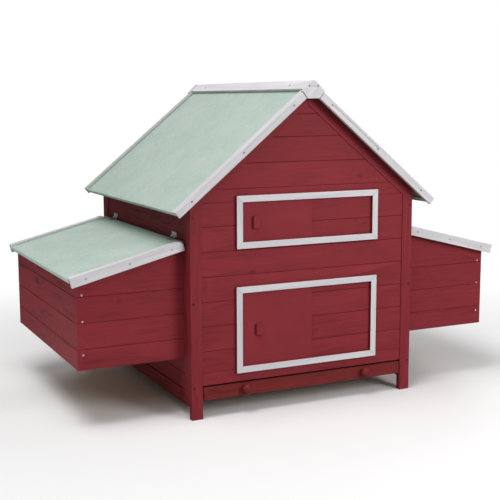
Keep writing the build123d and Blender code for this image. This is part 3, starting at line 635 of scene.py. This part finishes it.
def arc(centre, radius, start, stop, steps=4):
    """Points of an arc as (along, level) pairs, with angles in degrees."""
    turns = [math.radians(start + (stop - start) * step / steps) for step in range(steps + 1)]
    return [(centre[0] + radius * math.cos(turn), centre[1] + radius * math.sin(turn)) for turn in turns]


def steps_between(low, high, step):
    count = max(2, math.ceil((high - low) / step))
    return [low + (high - low) * index / count for index in range(count + 1)]


def fade(distance, cover):
    """0 under a trim that covers the felt, rising to 1 a little beyond it."""
    share = min(max((distance - cover) / COVER_FADE, 0.0), 1.0)
    return share * share * (3 - 2 * share)


def felt_wave(wave, y, along, side):
    across, down, place = wave
    return noise.noise(Vector((y * across, along * down, place + side)))


def felt_section(start_top, start_low, eave, under, top, fold):
    """Outline of the felt down the slope and under the eave, as (along, level) pairs."""
    bend = FELT_ROUND
    tight = bend - FELT_THICK
    upper_bend = (eave - bend, top - bend)
    lower_bend = (eave - bend, under + bend)
    rows = steps_between(start_top, eave - bend, FELT_STEP)[:-1]
    shift = start_low - start_top
    outer = [(along, top) for along in rows]
    outer += arc(upper_bend, bend, 90, 0) + arc(lower_bend, bend, 0, -90)
    outer.append((eave - fold, under))
    inner = [(along + shift * (1 - index / len(rows)), top - FELT_THICK)
             for index, along in enumerate(rows)]
    inner += arc(upper_bend, tight, 90, 0) + arc(lower_bend, tight, 0, -90)
    inner.append((eave - fold, under + FELT_THICK))
    return outer + inner[::-1]


def felt_sheet(hand, side, kind, body, fold, top_cover, chips):
    """Felt laid over a sloping board and folded under its eave, uneven between the trims."""
    node = f"{hand}_{kind}_felt"
    down, normal, ((start_top, eave), (near_y, far_y), (under, top)) = slope_frame(node, side)
    start_low = start_top
    if kind == "roof":
        from_ridge = min(abs(corner.x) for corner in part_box(node))
        start_top = (from_ridge - top * abs(normal.x)) / abs(down.x)
        start_low = (from_ridge - (top - FELT_THICK) * abs(normal.x)) / abs(down.x)
    ring = felt_section(start_top, start_low, eave, under, top, fold)

    build = bmesh.new()
    rings = []
    for y in steps_between(near_y, far_y, FELT_STEP):
        beside = fade(min(y - near_y, far_y - y), TRIM_COVER)
        points = []
        for along, level in ring:
            lift = 0.0
            if level >= (top + under) / 2:
                swell = SWELL_SHARE * felt_wave(SWELL, y, along, side)
                ripple = RIPPLE_SHARE * felt_wave(RIPPLE, y, along, side)
                rise = min(max(0.5 + swell + ripple, 0.0), 1.0)
                lift = FELT_LIFT * rise * beside * fade(along - start_top, top_cover)
            place = down * along + normal * (level + lift)
            place.y = y
            points.append(build.verts.new(place))
        rings.append(points)
    for first, second in zip(rings, rings[1:]):
        for index in range(len(ring)):
            after = (index + 1) % len(ring)
            build.faces.new((first[index], first[after], second[after], second[index]))
    build.faces.new(rings[0])
    build.faces.new(rings[-1][::-1])
    bmesh.ops.recalc_face_normals(build, faces=build.faces)
    for face in build.faces:
        face.smooth = True

    sheet = mesh_object(f"{hand}_{kind}_felt_sheet", build, chips)
    sheet.data.set_sharp_from_angle(angle=SMOOTH_ANGLE)
    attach(sheet, body)
    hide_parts(node)


for side, hand in SIDES:
    felt_sheet(hand, side, "roof", "house", ROOF_FOLD, CAP_COVER,
               mineral_felt(f"{hand}_roof_chips", (0.5, 0.7, -0.5)))
    felt_sheet(hand, side, "lid", f"{hand}_lid", LID_FOLD, HINGE_COVER,
               mineral_felt(f"{hand}_lid_chips", (0.8, 0.6, 0.0)))

# ---------------------------------------------------------------- studio

FLOOR_RADIUS = 40.0
FLOOR_FADE = (0.75, 2.3)
FLOOR_PALE = ((0.86, 0.86, 0.86, 1), (0.89, 0.89, 0.89, 1))
FLOOR_THROWN = (0.40, 0.39, 0.39, 1)
SKY_THROWN = 0.19
CAMERA_PLACE = (-1.5738, -3.2723, 1.0067)
CAMERA_AZIMUTH = math.radians(25.75)
CAMERA_DIP = math.radians(8.54)
CAMERA_ROLL = math.radians(-0.17)
CAMERA_LENS = 72.17
CAMERA_SENSOR = 36.0


def make_floor():
    """A wide, plain, pale floor that fades to white, and throws little light back up."""
    graph = Graph("floor_pale")
    pale = graph.mix(graph.noise(graph.place(), 1.3, 3.0), *FLOOR_PALE)
    near = graph.node("BsdfDiffuse", {"Color": pale}).outputs[0]
    far = graph.node("Emission", {"Color": (1, 1, 1, 1)}).outputs[0]
    reach = graph.step(graph.vector("LENGTH", graph.place()), *FLOOR_FADE)
    shown = graph.node("MixShader", {0: reach, 1: near, 2: far}).outputs[0]
    thrown = graph.node("BsdfDiffuse", {"Color": FLOOR_THROWN}).outputs[0]
    seen = graph.node("LightPath").outputs["Is Camera Ray"]
    both = graph.node("MixShader", {0: seen, 1: thrown, 2: shown}).outputs[0]
    graph.put(graph.node("OutputMaterial").inputs["Surface"], both)
    build = bmesh.new()
    bmesh.ops.create_circle(build, cap_ends=True, radius=FLOOR_RADIUS, segments=96)
    mesh_object("floor", build, graph.material)


def make_world():
    """Even studio light, seen as plain white."""
    world = bpy.data.worlds.new("studio")
    bpy.context.scene.world = world
    world.use_nodes = True
    tree = world.node_tree
    tree.nodes.clear()
    seen = tree.nodes.new("ShaderNodeLightPath").outputs["Is Camera Ray"]
    strength = tree.nodes.new("ShaderNodeMapRange")
    strength.inputs["To Min"].default_value = SKY_THROWN
    strength.inputs["To Max"].default_value = 1.0
    light = tree.nodes.new("ShaderNodeBackground")
    light.inputs["Color"].default_value = (1.0, 1.0, 1.0, 1.0)
    output = tree.nodes.new("ShaderNodeOutputWorld")
    tree.links.new(seen, strength.inputs["Value"])
    tree.links.new(strength.outputs["Result"], light.inputs["Strength"])
    tree.links.new(light.outputs[0], output.inputs["Surface"])


def softbox(name, place, target, size, power):
    """A rectangular area light that faces a target, and that the camera doesn't see."""
    lamp = bpy.data.lights.new(name, "AREA")
    lamp.shape = "RECTANGLE"
    lamp.size, lamp.size_y = size
    lamp.energy = power
    holder = bpy.data.objects.new(name, lamp)
    holder.location = place
    direction = Vector(target) - Vector(place)
    holder.rotation_euler = direction.to_track_quat("-Z", "Y").to_euler()
    holder.visible_camera = False
    bpy.context.scene.collection.objects.link(holder)


def make_camera():
    """A viewpoint left of the front and a little above the eaves, as in the photograph."""
    ahead = math.cos(CAMERA_DIP)
    forward = Vector((math.sin(CAMERA_AZIMUTH) * ahead, math.cos(CAMERA_AZIMUTH) * ahead,
                      -math.sin(CAMERA_DIP)))
    right = Vector((math.cos(CAMERA_AZIMUTH), -math.sin(CAMERA_AZIMUTH), 0))
    up = right.cross(forward)
    tilted_right = right * math.cos(CAMERA_ROLL) + up * math.sin(CAMERA_ROLL)
    tilted_up = up * math.cos(CAMERA_ROLL) - right * math.sin(CAMERA_ROLL)
    lens = bpy.data.cameras.new("camera")
    lens.sensor_width = CAMERA_SENSOR
    lens.lens = CAMERA_LENS
    camera = bpy.data.objects.new("camera", lens)
    turn = Matrix((tilted_right, tilted_up, -forward)).transposed()
    camera.matrix_world = Matrix.Translation(CAMERA_PLACE) @ turn.to_4x4()
    bpy.context.scene.collection.objects.link(camera)
    bpy.context.scene.camera = camera


make_floor()
make_world()
middle = (cad_box[0] + cad_box[1]) / 2
softbox("key", place=(1.1, -3.0, 1.45), target=middle, size=(1.25, 1.25), power=48)
softbox("overhead", place=(-1.5, -0.9, 4.4), target=middle, size=(2.2, 2.2), power=132)
softbox("fill", place=(-2.2, -3.6, 3.6), target=middle, size=(2.2, 2.2), power=30)
softbox("rear", place=(2.9, 3.4, 2.4), target=middle, size=(2.4, 2.4), power=85)
softbox("bounce", place=(-1.35, -0.2, 0.02), target=(-1.35, -0.2, 1.0), size=(0.8, 1.6), power=4.6)
make_camera()
bpy.context.scene.view_settings.view_transform = "Standard"
